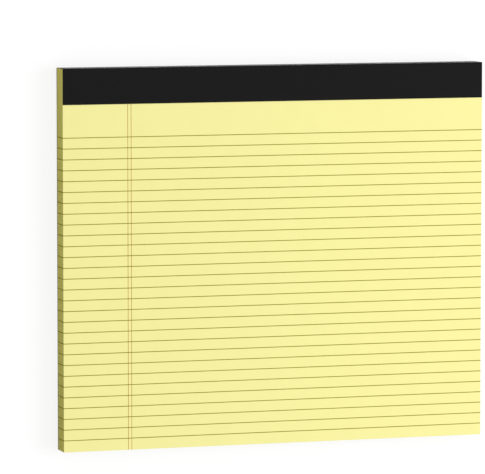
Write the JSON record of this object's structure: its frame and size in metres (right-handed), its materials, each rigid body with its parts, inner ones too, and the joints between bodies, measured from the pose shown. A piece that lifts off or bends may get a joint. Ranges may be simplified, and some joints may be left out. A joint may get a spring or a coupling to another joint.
{
  "type": "legal pad",
  "caption": "Landscape legal pad: a block of ruled yellow sheets with a left margin on a chipboard back, stapled at the head under a folded black binding strip.",
  "frame": {"origin": "on the resting surface, under the middle of the pad's box, as it lies on its back", "axes": "+Z out of the front sheet, +Y towards the bound head edge, +X to the right of the front sheet"},
  "size_m": [0.2794, 0.2416, 0.0148],
  "materials": {
    "chipboard": "raw grey-brown chipboard",
    "sheets": "uncoated canary yellow writing paper",
    "wire": "bright flattened steel wire",
    "strip": "matte black binding paper",
    "rule_ink": "olive-grey line ink on yellow paper",
    "margin_ink": "red line ink on yellow paper"
  },
  "bodies": {
    "root": {"backing_board": "chipboard", "paper_block": "sheets", "staples": "wire", "binding_strip": "strip", "ruled_lines": "rule_ink", "margin_lines": "margin_ink"}
  },
  "joints": []
}
